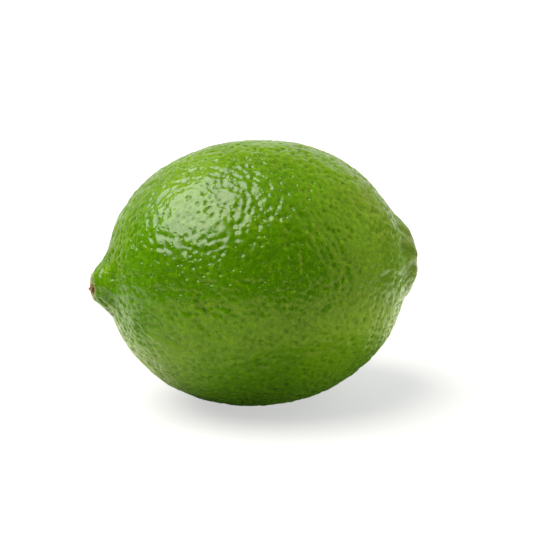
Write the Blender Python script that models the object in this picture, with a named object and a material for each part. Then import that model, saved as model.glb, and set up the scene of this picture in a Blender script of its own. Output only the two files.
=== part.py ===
"""A whole lime lying on its side: long axis along X, stem end at +X, resting on a small flat spot at z = 0.

The fruit is one solid. Its rind is given by its reach from the middle of the fruit in every direction: a full
belly, a narrow nipple at the stylar (blossom) end and a broad, slightly lifted neck at the stem end.
"""

import math

import bmesh
import bpy
from mathutils import Matrix, Vector

MM = 0.001
DEGREE = math.pi / 180

# Belly: two half superellipses that share one widest ring.
BELLY_RADIUS = 27.0 * MM
STYLAR_HALF_LENGTH = 30.9 * MM
STEM_HALF_LENGTH = 30.1 * MM
STYLAR_FULLNESS = 2.15
STEM_FULLNESS = 2.08

# Stylar nipple, with the shallow dish that the dried style sits in.
NIPPLE_POLE = Vector((-1, 0.012, -0.022)).normalized()
NIPPLE_HEIGHT = 3.75 * MM
NIPPLE_SPREAD = 8.8 * DEGREE
NIPPLE_FULLNESS = 2.55
DISH_DEPTH = 0.3 * MM
DISH_SPREAD = 2.2 * DEGREE
DISH_FULLNESS = 3

# Stem neck, leaning up and to the front, with the pit that the stem leaves and low ridges down its slope.
NECK_POLE = Vector((1, -0.06, 0.056)).normalized()
NECK_HEIGHT = 2.75 * MM
NECK_SPREAD = 15.5 * DEGREE
NECK_FULLNESS = 3.7
PIT_DEPTH = 0.9 * MM
PIT_SPREAD = 4.2 * DEGREE
PIT_FULLNESS = 4
RIDGE_COUNT = 7
RIDGE_HEIGHT = 0.22 * MM
RIDGE_RING = 14.0 * DEGREE
RIDGE_SPREAD = 7.0 * DEGREE

# Resting spot: how deep the soft rind is flattened at the bottom of the belly.
REST_DEPTH = 0.3 * MM
REST_CUTTER_SIDE = 60.0 * MM

# Mesh fineness: meridians around the long axis, rings along it, and how strongly the rings crowd at the ends.
MERIDIANS = 60
RINGS = 44
RING_CROWDING = 0.6

RIND_GREEN = (0.115, 0.27, 0.004, 1.0)
RIND_ROUGHNESS = 0.3


def clear_scene():
    """Remove whatever objects the file holds."""
    for item in list(bpy.data.objects):
        bpy.data.objects.remove(item, do_unlink=True)


def new_collection(name):
    """Link a new collection into the scene."""
    collection = bpy.data.collections.new(name)
    bpy.context.scene.collection.children.link(collection)
    return collection


def rind_material():
    """Waxy green rind."""
    material = bpy.data.materials.new("rind")
    material.use_nodes = True
    shader = material.node_tree.nodes["Principled BSDF"]
    shader.inputs["Base Color"].default_value = RIND_GREEN
    shader.inputs["Roughness"].default_value = RIND_ROUGHNESS
    shader.inputs["Metallic"].default_value = 0.0
    return material


def belly_reach(direction):
    """Distance from the middle to the plain belly, without its two ends."""
    stylar_side = direction.x < 0
    half_length = STYLAR_HALF_LENGTH if stylar_side else STEM_HALF_LENGTH
    fullness = STYLAR_FULLNESS if stylar_side else STEM_FULLNESS
    along = abs(direction.x) / half_length
    across = math.hypot(direction.y, direction.z) / BELLY_RADIUS
    return (along**fullness + across**fullness) ** (-1 / fullness)


def swelling(direction, pole, height, spread, fullness):
    """Smooth rise of the rind around a pole, level on top and fading out past its spread."""
    away = direction.angle(pole)
    return height * math.exp(-((away / spread) ** fullness))


def neck_ridges(direction):
    """Low ridges that run down the stem neck, strongest halfway down its slope."""
    away = direction.angle(NECK_POLE)
    around = math.atan2(direction.z - NECK_POLE.z, direction.y - NECK_POLE.y)
    strength = math.exp(-(((away - RIDGE_RING) / RIDGE_SPREAD) ** 2))
    return RIDGE_HEIGHT * strength * math.cos(RIDGE_COUNT * around)


def rind_reach(direction):
    """Distance from the middle of the fruit to its rind."""
    reach = belly_reach(direction)
    reach += swelling(direction, NIPPLE_POLE, NIPPLE_HEIGHT, NIPPLE_SPREAD, NIPPLE_FULLNESS)
    reach -= swelling(direction, NIPPLE_POLE, DISH_DEPTH, DISH_SPREAD, DISH_FULLNESS)
    reach += swelling(direction, NECK_POLE, NECK_HEIGHT, NECK_SPREAD, NECK_FULLNESS)
    reach -= swelling(direction, NECK_POLE, PIT_DEPTH, PIT_SPREAD, PIT_FULLNESS)
    return reach + neck_ridges(direction)


def crowd_to_poles(point):
    """Move a point of the unit sphere along its meridian, so that rings are closer together at the poles."""
    polar = math.acos(max(-1.0, min(1.0, point.z)))
    polar -= RING_CROWDING * math.sin(2 * polar) / 2
    around = math.atan2(point.y, point.x)
    return Vector((math.sin(polar) * math.cos(around), math.sin(polar) * math.sin(around), math.cos(polar)))


def shape_fruit(mesh_data):
    """Turn a unit sphere with its poles along Z into the fruit with its ends along X."""
    lay_down = Matrix.Rotation(math.pi / 2, 3, "Y")
    for vertex in mesh_data.verts:
        direction = lay_down @ crowd_to_poles(vertex.co)
        vertex.co = direction * rind_reach(direction)


def seat_on_floor(mesh_data):
    """Centre the fruit over the origin, sunk by the depth of its resting spot."""
    spans = [[vertex.co[axis] for vertex in mesh_data.verts] for axis in range(3)]
    middle_x, middle_y = ((min(span) + max(span)) / 2 for span in spans[:2])
    lowest = min(spans[2])
    bmesh.ops.translate(mesh_data, verts=mesh_data.verts, vec=(-middle_x, -middle_y, -lowest - REST_DEPTH))


def make_fruit(collection):
    """The whole fruit, before its resting spot is flattened."""
    mesh_data = bmesh.new()
    bmesh.ops.create_uvsphere(mesh_data, u_segments=MERIDIANS, v_segments=RINGS, radius=1)
    shape_fruit(mesh_data)
    seat_on_floor(mesh_data)
    mesh = bpy.data.meshes.new("lime")
    mesh_data.to_mesh(mesh)
    mesh_data.free()
    mesh.shade_smooth()
    mesh.materials.append(rind_material())
    fruit = bpy.data.objects.new("lime", mesh)
    collection.objects.link(fruit)
    return fruit


def flatten_resting_spot(fruit, collection):
    """Cut the fruit level with the floor by a block that lies just under it."""
    mesh_data = bmesh.new()
    bmesh.ops.create_cube(mesh_data, size=REST_CUTTER_SIDE)
    mesh = bpy.data.meshes.new("resting_spot_cutter")
    mesh_data.to_mesh(mesh)
    mesh_data.free()
    cutter = bpy.data.objects.new("resting_spot_cutter", mesh)
    cutter.location.z = -REST_CUTTER_SIDE / 2
    cutter.display_type = "WIRE"
    cutter.hide_render = True
    collection.objects.link(cutter)
    cut = fruit.modifiers.new("resting_spot", "BOOLEAN")
    cut.operation = "DIFFERENCE"
    cut.solver = "EXACT"
    cut.object = cutter


def main():
    clear_scene()
    fruit = make_fruit(new_collection("lime"))
    flatten_resting_spot(fruit, new_collection("lime_cutters"))


main()
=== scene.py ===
"""Looks of a whole lime lying on its side: rind, dried style, stem scar, studio floor, light and camera."""

import math

import bmesh
import bpy
import numpy as np
from mathutils import Matrix, Vector, kdtree, noise


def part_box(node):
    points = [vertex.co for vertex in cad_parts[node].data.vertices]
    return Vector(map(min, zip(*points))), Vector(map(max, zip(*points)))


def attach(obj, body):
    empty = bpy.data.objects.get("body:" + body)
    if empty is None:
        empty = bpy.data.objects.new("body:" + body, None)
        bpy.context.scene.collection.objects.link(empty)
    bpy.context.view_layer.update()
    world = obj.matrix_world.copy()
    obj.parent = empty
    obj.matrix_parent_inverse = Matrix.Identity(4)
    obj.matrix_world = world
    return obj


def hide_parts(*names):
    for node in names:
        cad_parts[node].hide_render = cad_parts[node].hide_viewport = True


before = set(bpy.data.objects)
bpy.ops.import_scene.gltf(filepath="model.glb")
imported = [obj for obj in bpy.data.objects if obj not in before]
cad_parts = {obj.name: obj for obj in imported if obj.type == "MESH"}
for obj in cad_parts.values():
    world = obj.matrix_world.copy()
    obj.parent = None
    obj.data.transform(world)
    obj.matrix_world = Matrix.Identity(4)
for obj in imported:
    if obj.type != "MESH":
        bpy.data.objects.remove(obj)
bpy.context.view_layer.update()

MM = 0.001
DEGREE = math.pi / 180

# ------------------------------------------------------------------------------------------------------------
# The fruit's outline, the same as the solid's: the rind's reach from the middle, in every direction.
# ------------------------------------------------------------------------------------------------------------

BELLY_RADIUS = 27.0 * MM
STYLAR_HALF_LENGTH = 30.9 * MM
STEM_HALF_LENGTH = 30.1 * MM
STYLAR_FULLNESS = 2.15
STEM_FULLNESS = 2.08

NIPPLE_POLE = np.array(Vector((-1, 0.012, -0.022)).normalized())
NIPPLE_HEIGHT = 3.75 * MM
NIPPLE_SPREAD = 8.8 * DEGREE
NIPPLE_FULLNESS = 2.55
DISH_DEPTH = 0.3 * MM
DISH_SPREAD = 2.2 * DEGREE
DISH_FULLNESS = 3

NECK_POLE = np.array(Vector((1, -0.06, 0.056)).normalized())
NECK_HEIGHT = 2.75 * MM
NECK_SPREAD = 15.5 * DEGREE
NECK_FULLNESS = 3.7
PIT_DEPTH = 0.9 * MM
PIT_SPREAD = 4.2 * DEGREE
PIT_FULLNESS = 4
RIDGE_COUNT = 7
RIDGE_HEIGHT = 0.22 * MM
RIDGE_RING = 14.0 * DEGREE
RIDGE_SPREAD = 7.0 * DEGREE


def angle_from(directions, pole):
    """Angle between unit directions and a pole."""
    return np.arccos(np.clip(directions @ pole, -1, 1))


def around(directions, pole):
    """Angle around a pole that points roughly along X."""
    return np.arctan2(directions[:, 2] - pole[2], directions[:, 1] - pole[1])


def belly_reach(directions):
    """Distance from the middle to the plain belly, without its two ends."""
    stylar_side = directions[:, 0] < 0
    half_length = np.where(stylar_side, STYLAR_HALF_LENGTH, STEM_HALF_LENGTH)
    fullness = np.where(stylar_side, STYLAR_FULLNESS, STEM_FULLNESS)
    along = np.abs(directions[:, 0]) / half_length
    across = np.hypot(directions[:, 1], directions[:, 2]) / BELLY_RADIUS
    return (along**fullness + across**fullness) ** (-1 / fullness)


def swelling(directions, pole, height, spread, fullness):
    """Smooth rise of the rind around a pole, level on top and fading out past its spread."""
    return height * np.exp(-((angle_from(directions, pole) / spread) ** fullness))


def rim(angles, radius, width):
    """1 where the angle is the radius, fading out to both sides."""
    return np.exp(-(((angles - radius) / width) ** 2))


def rind_reach(directions):
    """Distance from the middle of the fruit to its rind."""
    reach = belly_reach(directions)
    reach += swelling(directions, NIPPLE_POLE, NIPPLE_HEIGHT, NIPPLE_SPREAD, NIPPLE_FULLNESS)
    reach -= swelling(directions, NIPPLE_POLE, DISH_DEPTH, DISH_SPREAD, DISH_FULLNESS)
    reach += swelling(directions, NECK_POLE, NECK_HEIGHT, NECK_SPREAD, NECK_FULLNESS)
    reach -= swelling(directions, NECK_POLE, PIT_DEPTH, PIT_SPREAD, PIT_FULLNESS)
    ridges = np.cos(RIDGE_COUNT * around(directions, NECK_POLE))
    return reach + RIDGE_HEIGHT * ridges * rim(angle_from(directions, NECK_POLE), RIDGE_RING, RIDGE_SPREAD)


# ------------------------------------------------------------------------------------------------------------
# The rind's relief, all as heights along the rind's outward normal.
# ------------------------------------------------------------------------------------------------------------

SWELLS = (  # size and height of the broad unevenness, the low swells and the fine pebbling
    (13 * MM, 0.16 * MM),
    (4.5 * MM, 0.05 * MM),
    (1.3 * MM, 0.09 * MM),
)

PORE_COUNT = 5000
PORE_SEED = 41
PORE_SPREADING_ROUNDS = 5
PORE_GAP = 1.43 * MM
PORE_PUSH = 0.35  # share of a missing gap that one round makes up
PORE_DEPTH = 0.50 * MM
PORE_WIDTH = 0.49 * MM
PORE_REACH = 3  # pores near enough to a point of the rind to dent it
PORE_STRENGTHS = (0.3, 1.0)
PORE_STRENGTH_BIAS = 1.3  # above 1, more of the pores are weak
PORE_WIDTHS = (0.75, 1.3)  # share of the mean width
PORE_BLUNTNESS = 1.5  # 1 is a pointed pit, 2 a round-bottomed one
PORE_HEART = 1.7  # how fast the dark heart of a pore fades

CALM_NECK = (0.5, 21 * DEGREE, 3)  # share of the relief lost on the neck, how far down, how level
CALM_CAP, CALM_CAP_FULLNESS = 0.85, 6

# Creases down the slope of an end: pole, height, middle and width of their band, how many, and how long.
CREASES = (
    (NECK_POLE, 0.13 * MM, 16 * DEGREE, 8 * DEGREE, 24, 12 * DEGREE),
    (NECK_POLE, 0.10 * MM, 16 * DEGREE, 11 * DEGREE, 54, 8 * DEGREE),
    (NECK_POLE, 0.16 * MM, 7.5 * DEGREE, 3.0 * DEGREE, 13, 6 * DEGREE),
    (NIPPLE_POLE, 0.13 * MM, 11 * DEGREE, 4 * DEGREE, 16, 6 * DEGREE),
    (NIPPLE_POLE, 0.07 * MM, 17 * DEGREE, 5 * DEGREE, 34, 8 * DEGREE),
)

CAP_EDGE = 4.5 * DEGREE  # edge of the small flat cap on the nipple
CAP_WOBBLE = 1.1 * DEGREE
CAP_RIM_HEIGHT = 0.09 * MM
CAP_RIM_WIDTH = 0.5 * DEGREE
SCAR_EDGE = 4.3 * DEGREE  # edge of the corky scar that the stem leaves
SCAR_WOBBLE = 1.0 * DEGREE
SCAR_RIM_HEIGHT = 0.16 * MM
SCAR_RIM_WIDTH = 0.6 * DEGREE
SCAR_BUTTON_HEIGHT = 0.35 * MM
SCAR_BUTTON_SPREAD = 1.9 * DEGREE
SCAR_BUTTON_FULLNESS = 3
WOBBLE_SIZE = 0.055  # on the unit sphere
STYLE_POLE = np.array(Vector((-1, -0.020, -0.024)).normalized())
STYLE_PIT_DEPTH = 0.35 * MM
STYLE_PIT_SPREAD = 2.1 * DEGREE
STYLE_PIT_FULLNESS = 3

SCRATCH = (  # the two ends of a short crease on the front
    (-17.6 * MM, -22.8 * MM, 28.9 * MM),
    (-15.3 * MM, -24.0 * MM, 25.9 * MM),
)
SCRATCH_WIDTH = 0.38 * MM
SPECK = (0.9 * MM, -20.9 * MM, 9.6 * MM)
SPECK_WIDTH = 0.42 * MM
NECK_NICK = (30.4 * MM, -8.4 * MM, 28.7 * MM)
NECK_NICK_WIDTH = 0.8 * MM
BLEMISH_DEPTH = 0.25 * MM


def noise_over(points, size):
    """Smooth noise from -1 to 1 at each point, with features of about the given size."""
    return np.array([noise.noise(Vector(point)) for point in points / size])


def swells(points):
    """Height of the rind's unevenness, without its pores."""
    return sum(height * noise_over(points, size) for size, height in SWELLS)


def wrinkles(directions, pole, middle, width, count, length):
    """Creases that run down the slope around a pole: noise drawn out along the meridians."""
    turn = around(directions, pole)
    away = angle_from(directions, pole)
    radius = count / (2 * math.pi)
    points = np.stack([radius * np.cos(turn), radius * np.sin(turn), away / length], axis=1)
    return noise_over(points, 1.0) * rim(away, middle, width)


def end_creases(directions):
    """Height of the creases that run down the neck and the nipple."""
    return sum(height * wrinkles(directions, pole, *band) for pole, height, *band in CREASES)


def wobbly_angle(directions, pole, wobble):
    """Angle from a pole, pushed in and out so that rings around the pole are not perfect circles."""
    return angle_from(directions, pole) + wobble * noise_over(directions, WOBBLE_SIZE)


def end_marks(directions, tip, stem):
    """Height of the cap's crisp edge, of the stem scar's rim and button, and of the pit of the style."""
    height = CAP_RIM_HEIGHT * rim(tip, CAP_EDGE, CAP_RIM_WIDTH)
    height += SCAR_RIM_HEIGHT * rim(stem, SCAR_EDGE, SCAR_RIM_WIDTH)
    height += swelling(directions, NECK_POLE, SCAR_BUTTON_HEIGHT, SCAR_BUTTON_SPREAD, SCAR_BUTTON_FULLNESS)
    height -= swelling(directions, STYLE_POLE, STYLE_PIT_DEPTH, STYLE_PIT_SPREAD, STYLE_PIT_FULLNESS)
    return height


def blemishes(points):
    """Nearness, 0 to 1, to the few marks on the rind: a short crease, a speck and a nick in the neck."""
    start, end = np.array(SCRATCH)
    along = np.clip((points - start) @ (end - start) / ((end - start) @ (end - start)), 0, 1)
    crease = np.linalg.norm(points - start - along[:, None] * (end - start), axis=1) / SCRATCH_WIDTH
    speck = np.linalg.norm(points - np.array(SPECK), axis=1) / SPECK_WIDTH
    nick = np.linalg.norm(points - np.array(NECK_NICK), axis=1) / NECK_NICK_WIDTH
    return np.exp(-(np.minimum(np.minimum(crease, speck), nick) ** 2))


def calmness(directions, tip):
    """How much of the swells' and pores' relief is left: all of it on the belly, less at the two ends."""
    neck = swelling(directions, NECK_POLE, *CALM_NECK)
    cap = CALM_CAP * np.exp(-((tip / CAP_EDGE) ** CALM_CAP_FULLNESS))
    return (1 - neck) * (1 - cap)


def tree_of(points):
    """A search tree of points."""
    tree = kdtree.KDTree(len(points))
    for index, point in enumerate(points):
        tree.insert(point, index)
    tree.balance()
    return tree


def push_apart(pores):
    """Move every pore away from those that are nearer to it than the gap."""
    tree = tree_of(pores)
    pushes = np.zeros_like(pores)
    for index, pore in enumerate(pores):
        for near, _, distance in tree.find_range(Vector(pore), PORE_GAP):
            if distance > 0:
                pushes[index] += (pore - near) / distance * (PORE_GAP - distance) * PORE_PUSH
    return pores + pushes


def spread_pores(mesh, rng):
    """Points scattered evenly over the mesh: random ones, then pushed apart."""
    areas = np.zeros(len(mesh.polygons))
    mesh.polygons.foreach_get("area", areas)
    corners = np.zeros(len(mesh.polygons) * 4, dtype=np.int32)
    mesh.polygons.foreach_get("vertices", corners)
    picked = corners.reshape(-1, 4)[rng.choice(len(areas), PORE_COUNT, p=areas / areas.sum())]
    u, v = rng.random((2, PORE_COUNT, 1))
    points = positions_of(mesh)
    low = points[picked[:, 0]] * (1 - u) + points[picked[:, 1]] * u
    high = points[picked[:, 3]] * (1 - u) + points[picked[:, 2]] * u
    pores = low * (1 - v) + high * v
    for _ in range(PORE_SPREADING_ROUNDS):
        pores = push_apart(pores)
    return pores


def pore_fields(points, pores, rng):
    """Depth of the dent that the pores make at each point, and how near it is to a pore's middle, 0 to 1."""
    tree = tree_of(pores)
    strengths = rng.uniform(*PORE_STRENGTHS, len(pores)) ** PORE_STRENGTH_BIAS
    widths = PORE_WIDTH * rng.uniform(*PORE_WIDTHS, len(pores))
    dents = np.zeros(len(points))
    hearts = np.zeros(len(points))
    for place, point in enumerate(points):
        for _, index, distance in tree.find_n(Vector(point), PORE_REACH):
            share = distance / widths[index]
            dents[place] += strengths[index] * math.exp(-(share**PORE_BLUNTNESS))
            hearts[place] = max(hearts[place], strengths[index] * math.exp(-PORE_HEART * share**2))
    return PORE_DEPTH * dents, hearts


# ------------------------------------------------------------------------------------------------------------
# The rind's mesh.
# ------------------------------------------------------------------------------------------------------------

GRID = 128  # cells along each edge of the cube that becomes the rind
END_CROWDING = 0.5  # how strongly the cells crowd towards the two ends
SKIN_GAP = 0.02  # share of each face's room on the texture map that stays free around it


def positions_of(mesh):
    """Vertex positions as an array."""
    flat = np.zeros(len(mesh.vertices) * 3)
    mesh.vertices.foreach_get("co", flat)
    return flat.reshape(-1, 3)


def normals_of(mesh):
    """Vertex normals as an array."""
    flat = np.zeros(len(mesh.vertices) * 3, dtype=np.float32)
    mesh.vertex_normals.foreach_get("vector", flat)
    return flat.reshape(-1, 3).astype(float)


def place_vertices(mesh, positions):
    """Move every vertex of a mesh."""
    mesh.vertices.foreach_set("co", positions.astype(np.float32).ravel())
    mesh.update()


def add_field(mesh, name, values):
    """Store one number for each vertex, for the material to read."""
    mesh.attributes.new(name, "FLOAT", "POINT").data.foreach_set("value", values.astype(np.float32))


def mesh_of(mesh_data, name):
    """Turn finished mesh data into a mesh."""
    mesh = bpy.data.meshes.new(name)
    mesh_data.to_mesh(mesh)
    mesh_data.free()
    return mesh


def put_in_scene(name, data):
    """A new object in the scene."""
    item = bpy.data.objects.new(name, data)
    bpy.context.scene.collection.objects.link(item)
    return item


def gridded_cube():
    """A cube from -1 to 1 with a square grid on every face."""
    mesh_data = bmesh.new()
    bmesh.ops.create_cube(mesh_data, size=2)
    bmesh.ops.subdivide_edges(mesh_data, edges=mesh_data.edges, cuts=GRID - 1, use_grid_fill=True)
    return mesh_of(mesh_data, "lime_rind")


def cube_to_directions(cube):
    """Unit directions for points on the cube, evenly spaced by angle and crowded towards the ends on X."""
    on_end = np.abs(cube[:, 0]) > 1 - 1e-6
    from_middle = np.maximum(np.abs(cube[:, 1]), np.abs(cube[:, 2]))
    squeeze = np.where(on_end, 1 - END_CROWDING * (1 - from_middle), 1.0)
    bent = np.tan(cube * np.stack([np.ones(len(cube)), squeeze, squeeze], axis=1) * math.pi / 4)
    return bent / np.linalg.norm(bent, axis=1, keepdims=True)


def lay_out_skin(mesh, cube):
    """Unfold the cube's six faces side by side, three by two, as the rind's texture map."""
    layer = mesh.uv_layers.new(name="OFBake")
    corners = np.zeros(len(mesh.loops), dtype=np.int32)
    mesh.loops.foreach_get("vertex_index", corners)
    faces = cube[corners].reshape(-1, 4, 3)
    middles = faces.mean(axis=1)
    axis = np.abs(middles).argmax(axis=1)
    positive = np.take_along_axis(middles, axis[:, None], 1)[:, 0] > 0
    across = np.take_along_axis(faces, ((axis + 1) % 3)[:, None, None].repeat(4, 1), 2)[:, :, 0]
    upward = np.take_along_axis(faces, ((axis + 2) % 3)[:, None, None].repeat(4, 1), 2)[:, :, 0]
    across = across * np.where(positive, 1, -1)[:, None]
    u = (axis[:, None] + 0.5 + across * (0.5 - SKIN_GAP)) / 3
    v = (positive[:, None] + 0.5 + upward * (0.5 - SKIN_GAP)) / 2
    layer.uv.foreach_set("vector", np.stack([u, v], axis=2).astype(np.float32).ravel())


def seat_in(box, points):
    """How far the outline moves to lie in the solid's box, level with its top."""
    lowest, highest = box
    return np.array([
        (lowest.x + highest.x - points[:, 0].max() - points[:, 0].min()) / 2,
        (lowest.y + highest.y - points[:, 1].max() - points[:, 1].min()) / 2,
        highest.z - points[:, 2].max(),
    ])


def make_rind(box):
    """The whole skin of the fruit, seated where the solid is and flat where it rests."""
    mesh = gridded_cube()
    cube = positions_of(mesh)
    lay_out_skin(mesh, cube)
    directions = cube_to_directions(cube)
    smooth = directions * rind_reach(directions)[:, None]
    place_vertices(mesh, smooth)
    seat = seat_in(box, smooth)

    rng = np.random.default_rng(PORE_SEED)
    dents, hearts = pore_fields(smooth, spread_pores(mesh, rng), rng)
    tip = wobbly_angle(directions, NIPPLE_POLE, CAP_WOBBLE)
    stem = wobbly_angle(directions, NECK_POLE, SCAR_WOBBLE)
    calm = calmness(directions, tip)
    creases = end_creases(directions)
    marks = blemishes(smooth + seat)
    relief = (swells(smooth) - dents) * calm + creases + end_marks(directions, tip, stem)
    relief -= BLEMISH_DEPTH * marks
    skin = smooth + normals_of(mesh) * relief[:, None] + seat
    skin[:, 2] = np.maximum(skin[:, 2], box[0].z)
    place_vertices(mesh, skin)

    fields = {
        "pore": hearts * calm,
        "blemish": marks,
        "crease": creases / MM,
        "tip": tip / DEGREE,
        "stem": stem / DEGREE,
        "style": angle_from(directions, STYLE_POLE) / DEGREE,
    }
    for name, values in fields.items():
        add_field(mesh, name, values)
    mesh.shade_smooth()
    return put_in_scene("lime_rind", mesh), Vector(seat)


# ------------------------------------------------------------------------------------------------------------
# The dried style: a crumpled stub of dry tissue in the dish at the nipple's tip.
# ------------------------------------------------------------------------------------------------------------

STYLE_RADIUS = 0.95 * MM
STYLE_THICKNESS = 0.42 * MM
STYLE_FINENESS = 5
STYLE_LOBES = 5
STYLE_LOBE_DEPTH = 0.38  # share of the radius between two lobes that is missing
STYLE_LOBE_SHARPNESS = 1.5
STYLE_LOBE_TURN = 0.4
STYLE_SPIKE = 0.55 * MM
STYLE_SPIKE_WIDTH = 0.3  # share of the radius
STYLE_LOBE_LIFT = 0.25 * MM
STYLE_CRUMPLES = ((0.45, 2.3), (0.2, 6.1))  # depth and fineness
STYLE_PROUD = 0.02 * MM


def crumpled(point):
    """A point of a unit ball, its poles on X, pulled into pointed lobes, flattened and crumpled."""
    turn = math.atan2(point.z, point.y)
    outward = math.hypot(point.y, point.z)
    pointed = abs(math.cos(STYLE_LOBES * turn / 2 + STYLE_LOBE_TURN)) ** STYLE_LOBE_SHARPNESS
    lobes = 1 - STYLE_LOBE_DEPTH + STYLE_LOBE_DEPTH * pointed
    spike = STYLE_SPIKE * math.exp(-((outward / STYLE_SPIKE_WIDTH) ** 2))
    lift = spike + STYLE_LOBE_LIFT * outward**2 * lobes
    rough = sum((depth * noise.noise(point * fineness) for depth, fineness in STYLE_CRUMPLES), 1)
    along = point.x * STYLE_THICKNESS * rough - (lift if point.x < 0 else 0)
    across = lobes * STYLE_RADIUS * rough
    return Vector((along, point.y * across, point.z * across))


def make_dried_style(seat):
    """A star-shaped, crumpled stub, sunk in the pit at the nipple's tip."""
    mesh_data = bmesh.new()
    bmesh.ops.create_icosphere(mesh_data, subdivisions=STYLE_FINENESS, radius=1)
    for vertex in mesh_data.verts:
        vertex.co = crumpled(vertex.co)
    mesh = mesh_of(mesh_data, "dried_style")
    mesh.shade_smooth()
    reach = float(rind_reach(STYLE_POLE[None, :])[0])
    middle = seat + Vector(STYLE_POLE) * (reach - STYLE_PIT_DEPTH + STYLE_PROUD)
    mesh.transform(Matrix.Translation(middle))
    return put_in_scene("dried_style", mesh)


# ------------------------------------------------------------------------------------------------------------
# Shader kit: arithmetic on sockets adds Math nodes.
# ------------------------------------------------------------------------------------------------------------


class Wire:
    """An output socket of a node tree. Sums, differences and products of it are Math nodes."""

    def __init__(self, tree, socket):
        self.tree = tree
        self.socket = socket

    def math(self, operation, *values):
        return self.tree.node("ShaderNodeMath", {"operation": operation}, dict(enumerate(values)))

    def __add__(self, other):
        return self.math("ADD", self, other)

    def __sub__(self, other):
        return self.math("SUBTRACT", self, other)

    def __rsub__(self, other):
        return self.math("SUBTRACT", other, self)

    def __mul__(self, other):
        return self.math("MULTIPLY", self, other)

    def __abs__(self):
        return self.math("ABSOLUTE", self)

    __radd__ = __add__
    __rmul__ = __mul__

    def ramp(self, start, end):
        """0 before start, 1 after end, and a smooth step between them. The end may come before the start."""
        settings = {"interpolation_type": "SMOOTHSTEP"}
        low, high = sorted((start, end))
        sockets = {"Value": self, "From Min": low, "From Max": high}
        step = self.tree.node("ShaderNodeMapRange", settings, sockets)
        return 1 - step if start > end else step

    def band(self, rise_start, rise_end, fall_start, fall_end):
        """1 from the rise's end to the fall's start, 0 before the one and after the other."""
        return self.ramp(rise_start, rise_end) * self.ramp(fall_end, fall_start)


class Tree:
    """The node tree of a material or of the world."""

    def __init__(self, owner):
        owner.use_nodes = True
        self.nodes = owner.node_tree.nodes
        self.links = owner.node_tree.links
        self.nodes.clear()

    def node(self, kind, settings=None, sockets=None, output=0):
        """Add a node, set it up, then fill its sockets with numbers, colours or wires."""
        made = self.nodes.new(kind)
        for name, value in (settings or {}).items():
            setattr(made, name, value)
        for name, value in (sockets or {}).items():
            if isinstance(value, Wire):
                self.links.new(value.socket, made.inputs[name])
            else:
                made.inputs[name].default_value = value
        return Wire(self, made.outputs[output]) if made.outputs else None

    def mix(self, factor, first, second):
        """Blend two colours."""
        return self.node("ShaderNodeMix", {"data_type": "RGBA"}, {0: factor, 6: first, 7: second}, output=2)

    def vector(self, operation, first, second, output=0):
        """Vector Math on two vectors."""
        return self.node("ShaderNodeVectorMath", {"operation": operation}, {0: first, 1: second}, output)

    def parts(self, vector):
        """The three numbers of a vector."""
        split = self.node("ShaderNodeSeparateXYZ", sockets={0: vector})
        return [Wire(self, socket) for socket in split.socket.node.outputs]

    def place(self, kind="Object"):
        """The place of each point on the object."""
        return self.node("ShaderNodeTexCoord", output=kind)

    def studio_place(self, kind="Object"):
        """The place of each point, as three numbers: right, away and up in the studio."""
        sockets = {"Vector": self.place(kind), "Angle": STUDIO_TURN}
        return self.parts(self.node("ShaderNodeVectorRotate", {"rotation_type": "Z_AXIS"}, sockets))

    def noise(self, size, detail=2.0, roughness=0.5, stretch=None):
        """Noise from 0 to 1 over the object, with features of about the given size in metres."""
        place = self.place()
        if stretch is not None:
            place = self.vector("MULTIPLY", place, stretch)
        sockets = {"Vector": place, "Scale": 1 / size, "Detail": detail, "Roughness": roughness}
        return self.node("ShaderNodeTexNoise", {"noise_dimensions": "3D"}, sockets)

    def nearness(self, spot, inner, outer):
        """1 within the inner distance of a spot on the object, 0 beyond the outer one."""
        return self.vector("DISTANCE", self.place(), spot, "Value").ramp(outer, inner)

    def cells(self, size):
        """Distance to the nearest of scattered points, in cells of about the given size in metres."""
        sockets = {"Vector": self.place(), "Scale": 1 / size}
        return self.node("ShaderNodeTexVoronoi", {"feature": "F1"}, sockets)

    def field(self, name):
        """A number stored on the mesh."""
        return self.node("ShaderNodeAttribute", {"attribute_name": name}, output="Fac")

    def bump(self, strength, distance, height):
        """A normal for fine relief."""
        sockets = {"Strength": strength, "Distance": distance, "Height": height}
        return self.node("ShaderNodeBump", sockets=sockets)

    def finish(self, shader, sockets, kind="ShaderNodeOutputMaterial"):
        """Add a shader and link it to the tree's output."""
        self.node(kind, sockets={"Surface": self.node(shader, sockets=sockets)})


def new_material(name):
    """A new material and its tree."""
    material = bpy.data.materials.new(name)
    return material, Tree(material)


# ------------------------------------------------------------------------------------------------------------
# Finishes of the rind and the style.
# ------------------------------------------------------------------------------------------------------------

DEEP_GREEN = (0.046, 0.136, 0.0001, 1)
FRESH_GREEN = (0.063, 0.180, 0.0002, 1)
YELLOW_GREEN = (0.107, 0.230, 0.0003, 1)
# Dark pore green, also the colour of painted shade on the front, under the nipple and in the crease floors.
PORE_AND_SHADE_GREEN = (0.030, 0.100, 0.0001, 1)
# Pale fleck green, also the colour of the painted highlight on the crease crests.
FLECK_AND_HIGHLIGHT_GREEN = (0.160, 0.265, 0.012, 1)
BLEMISH_GREEN = (0.020, 0.035, 0.003, 1)
CAP_OLIVE = (0.095, 0.120, 0.040, 1)
CAP_EDGE_GREEN = (0.170, 0.240, 0.050, 1)
NECK_OLIVE = (0.048, 0.098, 0.005, 1)
SCAR_TAN = (0.27, 0.21, 0.085, 1)
SCAR_BROWN = (0.055, 0.036, 0.012, 1)
STYLE_BROWN = (0.075, 0.026, 0.005, 1)
STYLE_TAN = (0.40, 0.24, 0.10, 1)
STYLE_GOLD = (0.30, 0.20, 0.05, 1)

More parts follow.
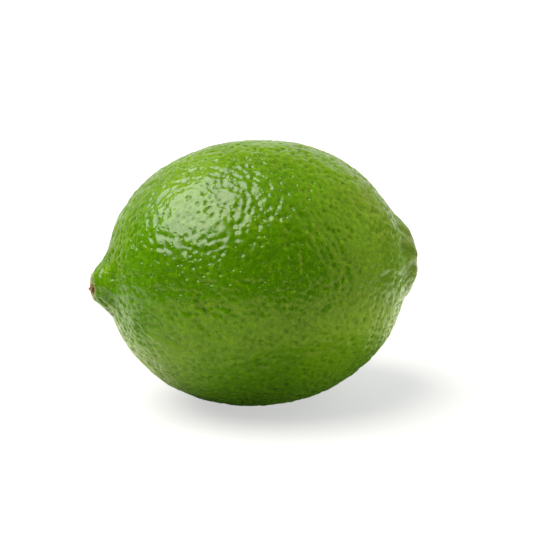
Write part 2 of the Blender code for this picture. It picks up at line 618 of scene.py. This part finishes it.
# Sizes of what the colours follow.
PATCH_SIZE = 16 * MM
SUNNY_SIZE = 24 * MM
SUNNY_STRETCH = (1.0, 1.3, 1.0)
MOTTLE_SIZE = 0.9 * MM
FLECK_SIZE = 0.35 * MM
BARK_SIZE = 0.5 * MM
FIBRE_SIZE = 0.35 * MM
NECK_PATCH_SIZE = 4 * MM
DULL_SIZE = 6 * MM
GRAIN_SIZE = 0.6 * MM
FINE_PIT_SIZE = 1.3 * MM

# Where a noise from 0 to 1 turns to each tint, and how much of the tint there is at most.
PATCH_TURN = (0.35, 0.68)
SUNNY_TURN, SUNNY_SHARE = (0.50, 0.72), 0.5
YELLOW_TURN, YELLOW_SHARE = (0.50, 0.68), 0.55
DARK_TURN, DARK_SHARE = (0.50, 0.32), 0.5
FLECK_TURN, FLECK_SHARE = (0.60, 0.72), 0.35
BARK_TURN = (0.3, 0.7)
PIT_FIBRES = (0.42, 0.62)
CORK_FIBRES = (0.40, 0.62)
PORE_SHARE = 0.7
BLEMISH_SHARE = 0.85

# Spots on the rind: middle, and the distances from full strength to none.
PAINTED_SHADE_SPOT = ((3 * MM, -26 * MM, 31.5 * MM), 4 * MM, 18 * MM)  # painted shade: a darker band on the front of the belly
PAINTED_SHADE_EVENNESS, PAINTED_SHADE_SHARE = 0.8, 0.45
PALE_CHEEK = ((13 * MM, -22.5 * MM, 17 * MM), 3 * MM, 14 * MM)  # where the rind has begun to turn yellow
PALE_SHARE = 0.7
NIPPLE_UNDERSIDE_SHADE = ((-31.5 * MM, -5 * MM, 23.5 * MM), 1.5 * MM, 4.5 * MM)  # painted shade under the nipple, on its front
UNDERSIDE_SHADE_SHARE = 0.4

# Angles in degrees from the middle of the cap, of the style's pit and of the stem scar.
CAP, CAP_SHARE = (4.8, 4.3), 0.75
CAP_RIM, CAP_RIM_SHARE = (3.9, 4.4, 4.7, 5.1), 0.45
STYLE_PIT, STYLE_PIT_FRAY = (2.7, 2.0), 1.2
NECK, NECK_FRAY, NECK_SHARE = (24, 12), 16, 0.7
HALO, HALO_SHARE = (7.0, 4.6), 0.5
SCAR, SCAR_FRAY = (4.4, 3.9), 1.6
SCAR_RING, SCAR_RING_SHARE = (1.5, 2.0, 2.5, 3.1), 0.8
DULL_NECK = (30, 16)

# Heights of the creases, in millimetres, over which painted shade darkens the crease floors and a painted
# highlight pales the crests.
CREASE_PAINTED_SHADE, CREASE_PAINTED_SHADE_SHARE = (-0.01, -0.06), 0.5
CREST_PAINTED_HIGHLIGHT, CREST_PAINTED_HIGHLIGHT_SHARE = (0.02, 0.07), 0.35

WAX_ROUGHNESS = 0.13
PATCH_DULLNESS = 0.07
PORE_DULLNESS = 0.03
SCAR_DULLNESS = 0.2
CAP_DULLNESS = 0.12
PIT_DULLNESS = 0.2
NECK_DULLNESS = 0.10
GRAIN_SHARE = 0.8
FINE_PIT = (0.08, 0.30)
BUMP_HEIGHT = 0.08 * MM

WAX_IOR = 1.46
FLESH_WEIGHT = 0.15
FLESH_GLOW = (0.6, 1.0, 0.1)
FLESH_DEPTH = 1.2 * MM

DRY_FIBRE_SIZE = 0.3 * MM
DRY_FIBRE_STRETCH = (0.4, 1.0, 1.0)
DRY_FIBRES = (0.4, 0.65)
DRY_ROUGHNESS, DRY_UNEVENNESS = 0.75, 0.15
DRY_BUMP = 0.8


def belly_colour(tree, pore):
    """Deep green with fresher and yellower places, painted shade on the front, fine mottling, dark pores and
    pale flecks.
    """
    patches = tree.noise(PATCH_SIZE, detail=3).ramp(*PATCH_TURN)
    sunny = tree.noise(SUNNY_SIZE, detail=2, stretch=SUNNY_STRETCH).ramp(*SUNNY_TURN)
    mottling = tree.noise(MOTTLE_SIZE, detail=3, roughness=0.6)
    flecks = tree.noise(FLECK_SIZE, detail=1).ramp(*FLECK_TURN)
    # Painted shade: a darker spot on the front of the belly, evening out the patches and deepening towards
    # dark green.
    painted_shade = tree.nearness(*PAINTED_SHADE_SPOT)
    colour = tree.mix(patches * (1 - painted_shade * PAINTED_SHADE_EVENNESS), DEEP_GREEN, FRESH_GREEN)
    colour = tree.mix(painted_shade * PAINTED_SHADE_SHARE, colour, PORE_AND_SHADE_GREEN)
    colour = tree.mix(sunny * (1 - painted_shade) * SUNNY_SHARE, colour, YELLOW_GREEN)
    colour = tree.mix(tree.nearness(*PALE_CHEEK) * PALE_SHARE, colour, YELLOW_GREEN)
    colour = tree.mix(mottling.ramp(*YELLOW_TURN) * YELLOW_SHARE, colour, YELLOW_GREEN)
    colour = tree.mix(mottling.ramp(*DARK_TURN) * DARK_SHARE, colour, PORE_AND_SHADE_GREEN)
    colour = tree.mix(pore * PORE_SHARE, colour, PORE_AND_SHADE_GREEN)
    return tree.mix(flecks * FLECK_SHARE, colour, FLECK_AND_HIGHLIGHT_GREEN)


def nipple_colour(tree, colour, tip, cap, pit, bark, fibres):
    """Over the belly's colour: the olive cap with its paler edge, and the brown pit of the style."""
    colour = tree.mix(cap * CAP_SHARE, colour, tree.mix(bark.ramp(*BARK_TURN), CAP_OLIVE, CAP_EDGE_GREEN))
    colour = tree.mix(tip.band(*CAP_RIM) * CAP_RIM_SHARE, colour, CAP_EDGE_GREEN)
    return tree.mix(pit, colour, tree.mix(fibres.ramp(*PIT_FIBRES), STYLE_BROWN, STYLE_GOLD))


def marked_colour(tree, colour, stem):
    """Over the rind's colour: the olive neck, painted shade under the nipple, the blemishes, painted shade in
    the crease floors and a painted highlight on the crease crests.
    """
    neck = (stem + (tree.noise(NECK_PATCH_SIZE, detail=3) - 0.5) * NECK_FRAY).ramp(*NECK)
    crease = tree.field("crease")
    colour = tree.mix(neck * NECK_SHARE, colour, NECK_OLIVE)
    # Painted shade under the nipple.
    colour = tree.mix(tree.nearness(*NIPPLE_UNDERSIDE_SHADE) * UNDERSIDE_SHADE_SHARE, colour, PORE_AND_SHADE_GREEN)
    colour = tree.mix(tree.field("blemish") * BLEMISH_SHARE, colour, BLEMISH_GREEN)
    # Painted shade in the crease floors and a painted highlight on the crease crests.
    colour = tree.mix(crease.ramp(*CREASE_PAINTED_SHADE) * CREASE_PAINTED_SHADE_SHARE, colour, PORE_AND_SHADE_GREEN)
    return tree.mix(crease.ramp(*CREST_PAINTED_HIGHLIGHT) * CREST_PAINTED_HIGHLIGHT_SHARE, colour, FLECK_AND_HIGHLIGHT_GREEN)


def scarred_colour(tree, colour, stem, scar, fibres):
    """Over the rind's colour: the corky scar with its brown ring, in a pale halo."""
    cork = tree.mix(fibres.ramp(*CORK_FIBRES), SCAR_BROWN, SCAR_TAN)
    cork = tree.mix(stem.band(*SCAR_RING) * SCAR_RING_SHARE, cork, SCAR_BROWN)
    colour = tree.mix(stem.ramp(*HALO) * HALO_SHARE, colour, CAP_EDGE_GREEN)
    return tree.mix(scar, colour, cork)


def rind_roughness(tree, pore, stem, scar, cap, pit):
    """Waxy on the belly, duller on the neck, the scar, the cap and in the pit of the style."""
    roughness = WAX_ROUGHNESS + tree.noise(DULL_SIZE, detail=3) * PATCH_DULLNESS + pore * PORE_DULLNESS
    roughness = roughness + scar * SCAR_DULLNESS + cap * CAP_DULLNESS + pit * PIT_DULLNESS
    return roughness + stem.ramp(*DULL_NECK) * NECK_DULLNESS


def rind_finish():
    """Waxy green rind with an olive cap, a brown pit for the style and a corky stem scar."""
    material, tree = new_material("waxy_rind")
    pore, tip, stem = tree.field("pore"), tree.field("tip"), tree.field("stem")
    bark = tree.noise(BARK_SIZE, detail=4, roughness=0.7)
    fibres = tree.noise(FIBRE_SIZE, detail=3, roughness=0.7)
    cap = tip.ramp(*CAP)
    pit = (tree.field("style") + (bark - 0.5) * STYLE_PIT_FRAY).ramp(*STYLE_PIT)
    scar = (stem + (bark - 0.5) * SCAR_FRAY).ramp(*SCAR)

    colour = belly_colour(tree, pore)
    colour = nipple_colour(tree, colour, tip, cap, pit, bark, fibres)
    colour = marked_colour(tree, colour, stem)
    colour = scarred_colour(tree, colour, stem, scar, fibres)
    grain = tree.noise(GRAIN_SIZE, detail=2, roughness=0.6) * GRAIN_SHARE
    sockets = {
        "Base Color": colour,
        "Roughness": rind_roughness(tree, pore, stem, scar, cap, pit),
        "IOR": WAX_IOR,
        "Subsurface Weight": FLESH_WEIGHT,
        "Subsurface Radius": FLESH_GLOW,
        "Subsurface Scale": FLESH_DEPTH,
        "Normal": tree.bump(1.0, BUMP_HEIGHT, grain + tree.cells(FINE_PIT_SIZE).ramp(*FINE_PIT)),
    }
    tree.finish("ShaderNodeBsdfPrincipled", sockets)
    return material


def style_finish():
    """Dry brown plant tissue."""
    material, tree = new_material("dried_style")
    fibres = tree.noise(DRY_FIBRE_SIZE, detail=4, roughness=0.7, stretch=DRY_FIBRE_STRETCH)
    sockets = {
        "Base Color": tree.mix(fibres.ramp(*DRY_FIBRES), STYLE_BROWN, STYLE_TAN),
        "Roughness": DRY_ROUGHNESS + fibres * DRY_UNEVENNESS,
        "Normal": tree.bump(DRY_BUMP, BUMP_HEIGHT, fibres),
    }
    tree.finish("ShaderNodeBsdfPrincipled", sockets)
    return material


# ------------------------------------------------------------------------------------------------------------
# Studio. Its heading is right, away and up, turned round from the row's axes.
# ------------------------------------------------------------------------------------------------------------

STUDIO_TURN = 14.66 * DEGREE  # how far the front of the studio stands round towards the stylar end

FLOOR_RADIUS = 1.1
FLOOR_SIDES = 96
FLOOR_LIFT = 0.02 * MM
FLOOR_WHITE = (0.80, 0.80, 0.80, 1)
FLOOR_YELLOW = (0.80, 0.80, 0.17, 1)
FLOOR_CREAM = (0.78, 0.80, 0.62, 1)
FLOOR_SLANT = 0.3  # how much further back the turn of colour lies on the right
FLOOR_TURN = (-50 * MM, 35 * MM)  # from the front colour to the back one
FLOOR_ASIDE = (85 * MM, 150 * MM)  # from the front colour to the back one, to both sides
FADE_MIDDLE = Vector((0, -30 * MM, 0))
WIDE_FADE = (0.30, 1.0)
MIRRORED_FADE = (0.09, 0.19)
PAINTED_SHADOWS = (  # painted shadow near the fruit and under the nipple: middle, and the distances from full darkness to none
    (Vector((12 * MM, -6 * MM, 0)), (21 * MM, 43 * MM)),
    (Vector((-62 * MM, -18 * MM, 0)), (8 * MM, 22 * MM)),
)
PAINTED_SHADOW_BLACK = (0, 0, 0, 1)
SEEN_COVER = 0.46
# How much painted shadow the lighting floor and the mirrored floor get near the fruit.
LIGHTING_PAINTED_SHADOW = 0.95
MIRRORED_PAINTED_SHADOW = 0.85
RAY_KINDS = ("visible_camera", "visible_diffuse", "visible_glossy", "visible_shadow")

CAMERA_LENS = 100
CAMERA_DISTANCE = 301.7 * MM
CAMERA_ELEVATION = 15 * DEGREE
CAMERA_CLIP = 10 * MM
AIM_RIGHT = 1.53 * MM
AIM_UP = 1.18 * MM

KEY_DIRECTION = Vector((-0.50, -0.13, 0.855))
KEY_DISTANCE = 2.4
KEY_HALF_ANGLE = 31 * DEGREE
KEY_RADIANCE = 6.8
KEY_COLOUR = (1.0, 0.955, 0.90)

# The room, by the right, away and up parts of a direction.
ROOM_HEADING = (0.545, 0.838)  # right and away: middle of the bright half of the room
ROOM_EDGE = (-0.10, -0.02)
BACKDROP_RADIANCE = 0.95
PANEL_RADIANCE = 1.45
PANEL_EDGE = (0.3, 0.8)
CEILING_RADIANCE = 0.45
CEILING_EDGE = (0.72, 0.95)
DARK_RADIANCE = 0.02
LOW_SIDES = (0.34, 0.06)  # heights over which the walls beside the backdrop darken down to the floor
LOW_SIDES_AWAY = (0.05, 0.35, 0.80, 0.91)
LOW_SIDES_LOSS = 0.2
LOW_RIGHT, LOW_RIGHT_LOSS = (0.0, 0.5), 0.5
WHITE_BACK = (0.70, 0.92)
WHITE_LEFT, WHITE_LEFT_AWAY, WHITE_LEFT_SHARE = (-0.3, -0.6), (0.3, 0.5), 0.35
WHITE_HEIGHT = (0.75, 0.35)
WHITE_LIGHT = (1, 1, 1, 1)
BACKDROP_LIGHT = (1, 1, 0.75, 1)
PANEL_LIGHT = (1, 1, 0.14, 1)


def studio_turn():
    """Rotation from the studio's heading to the row's axes."""
    return Matrix.Rotation(-STUDIO_TURN, 3, "Z")


def floor_finish(name, colours, cover, fade, painted_shadow):
    """Pale matt tabletop, from one colour in front to another behind, fading out far from the fruit.

    Cover is how much of the white behind it stays hidden. The last argument is how much painted shadow darkens
    it under the fruit and under the nipple.
    """
    material, tree = new_material(name)
    right, away, _ = tree.studio_place()
    front, back = colours
    colour = tree.mix((away - right * FLOOR_SLANT).ramp(*FLOOR_TURN), front, back)
    colour = tree.mix(abs(right).ramp(*FLOOR_ASIDE), colour, back)
    # Painted shadow: darker towards black near the fruit and under the nipple.
    for middle, spread in PAINTED_SHADOWS:
        dark = tree.nearness(tuple(studio_turn() @ middle), *spread) * painted_shadow
        colour = tree.mix(dark, colour, PAINTED_SHADOW_BLACK)
    solid = tree.nearness(tuple(studio_turn() @ FADE_MIDDLE), *fade) * cover
    sockets = {"Base Color": colour, "Roughness": 1.0, "Specular IOR Level": 0.0, "Alpha": solid}
    tree.finish("ShaderNodeBsdfPrincipled", sockets)
    return material


def make_floor(name, height, finish, ray_kind):
    """A round tabletop that only one kind of ray meets."""
    mesh_data = bmesh.new()
    bmesh.ops.create_circle(mesh_data, cap_ends=True, segments=FLOOR_SIDES, radius=FLOOR_RADIUS)
    mesh = mesh_of(mesh_data, name)
    mesh.materials.append(finish)
    floor = put_in_scene(name, mesh)
    floor.location.z = height
    for kind in RAY_KINDS:
        setattr(floor, kind, kind == ray_kind)


def make_floors():
    """The pale floor that is seen, the one that lights the fruit from below, and the one its gloss mirrors;
    the last two carry painted shadow under the fruit.
    """
    white = (FLOOR_WHITE, FLOOR_WHITE)
    seen = floor_finish("floor", white, SEEN_COVER, WIDE_FADE, 0.0)
    lighting = floor_finish("lighting_floor", white, 1.0, WIDE_FADE, LIGHTING_PAINTED_SHADOW)
    mirrored = floor_finish("mirrored_floor", (FLOOR_YELLOW, FLOOR_CREAM), 1.0, MIRRORED_FADE, MIRRORED_PAINTED_SHADOW)
    make_floor("floor", 2 * FLOOR_LIFT, seen, "visible_camera")
    make_floor("lighting_floor", 0, lighting, "visible_diffuse")
    make_floor("mirrored_floor", FLOOR_LIFT, mirrored, "visible_glossy")


def make_camera(middle):
    """A long lens, a little above the fruit, on its stylar side."""
    turn = studio_turn()
    back = turn @ Vector((0, -math.cos(CAMERA_ELEVATION), math.sin(CAMERA_ELEVATION)))
    right = turn @ Vector((1, 0, 0))
    up = back.cross(right)
    data = bpy.data.cameras.new("camera")
    data.lens = CAMERA_LENS
    data.clip_start = CAMERA_CLIP
    camera = put_in_scene("camera", data)
    place = middle + right * AIM_RIGHT + up * AIM_UP + back * CAMERA_DISTANCE
    camera.matrix_world = Matrix.Translation(place) @ Matrix((right, up, back)).transposed().to_4x4()
    bpy.context.scene.camera = camera


def make_key_light(middle):
    """A large round softbox, up and to the left."""
    data = bpy.data.lights.new("softbox", "AREA")
    data.shape = "DISK"
    radius = KEY_DISTANCE * math.tan(KEY_HALF_ANGLE)
    data.size = 2 * radius
    data.energy = KEY_RADIANCE * math.pi * math.pi * radius**2
    data.color = KEY_COLOUR
    light = put_in_scene("softbox", data)
    direction = (studio_turn() @ KEY_DIRECTION).normalized()
    light.location = middle + direction * KEY_DISTANCE
    light.rotation_euler = direction.to_track_quat("Z", "Y").to_euler()


def room_radiance(right, away, up, mirrored):
    """A bright half with a backdrop and a brighter panel, a softer ceiling, and darkness elsewhere."""
    bright_half = (right * ROOM_HEADING[0] + away * ROOM_HEADING[1]).ramp(*ROOM_EDGE)
    walls = BACKDROP_RADIANCE + right.ramp(*PANEL_EDGE) * (PANEL_RADIANCE - BACKDROP_RADIANCE)
    low_sides = up.ramp(*LOW_SIDES) * away.band(*LOW_SIDES_AWAY) * mirrored
    walls = walls * (1 - low_sides * (right.ramp(*LOW_RIGHT) * LOW_RIGHT_LOSS + LOW_SIDES_LOSS))
    ceiling = up.ramp(*CEILING_EDGE)
    return bright_half * walls * (1 - ceiling) + ceiling * CEILING_RADIANCE + DARK_RADIANCE


def room_tint(tree, right, away, up, mirrored):
    """White light, but yellowish in the rind's gloss, least so from the backdrop."""
    left = right.ramp(*WHITE_LEFT) * away.ramp(*WHITE_LEFT_AWAY) * WHITE_LEFT_SHARE
    whiter = (away.ramp(*WHITE_BACK) + left) * up.ramp(*WHITE_HEIGHT)
    return tree.mix(mirrored, WHITE_LIGHT, tree.mix(whiter, PANEL_LIGHT, BACKDROP_LIGHT))


def make_world():
    """White to look at, and a room of soft light for the fruit."""
    world = bpy.data.worlds.new("studio")
    bpy.context.scene.world = world
    tree = Tree(world)
    right, away, up = tree.studio_place("Generated")
    mirrored = tree.node("ShaderNodeLightPath", output="Is Glossy Ray")
    seen = tree.node("ShaderNodeLightPath", output="Is Camera Ray")
    sockets = {
        "Color": room_tint(tree, right, away, up, mirrored),
        "Strength": room_radiance(right, away, up, mirrored) * (1 - seen) + seen,
    }
    tree.finish("ShaderNodeBackground", sockets, "ShaderNodeOutputWorld")


def main():
    bpy.context.scene.view_settings.view_transform = "Standard"
    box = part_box("lime")
    rind, seat = make_rind(box)
    rind.data.materials.append(rind_finish())
    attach(rind, "root")
    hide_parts("lime")

    style = make_dried_style(seat)
    style.data.materials.append(style_finish())
    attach(style, "root")

    make_floors()
    make_camera(seat)
    make_key_light(seat)
    make_world()


main()
